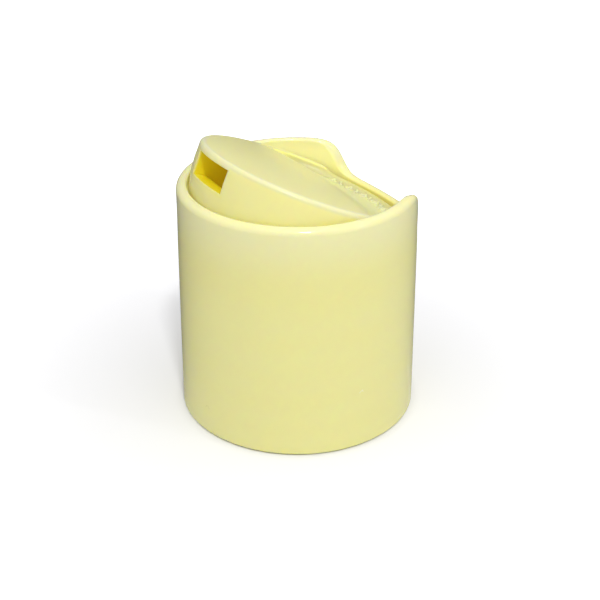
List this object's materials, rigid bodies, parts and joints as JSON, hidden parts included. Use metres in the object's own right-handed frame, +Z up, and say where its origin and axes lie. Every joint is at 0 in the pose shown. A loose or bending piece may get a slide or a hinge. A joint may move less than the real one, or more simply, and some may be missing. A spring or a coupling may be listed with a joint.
{
  "type": "disc top cap",
  "caption": "Round screw-on dispensing cap for a bottle neck, with a disc that tips open in a notched rim to show its spout slot.",
  "frame": {"origin": "centre of the round base, on the plane the cap stands on", "axes": "+Z up along the cap's axis, +X towards the thumb notch, Y along the disc's hinge"},
  "size_m": [0.0276, 0.0276, 0.0327],
  "materials": {
    "body_plastic": "glossy pale yellow moulded polypropylene, slightly translucent",
    "disc_plastic": "glossy pale yellow moulded polypropylene, slightly translucent"
  },
  "bodies": {
    "cap": {"cap_body": "body_plastic"},
    "tilting_disc": {"disc": "disc_plastic"}
  },
  "joints": [
    {"name": "disc_tilt", "type": "hinge", "parent": "cap", "child": "tilting_disc", "pos_m": [0, 0, 0.0262], "axis": [0, 1, 0], "range_deg": [-23.8, 0]}
  ]
}
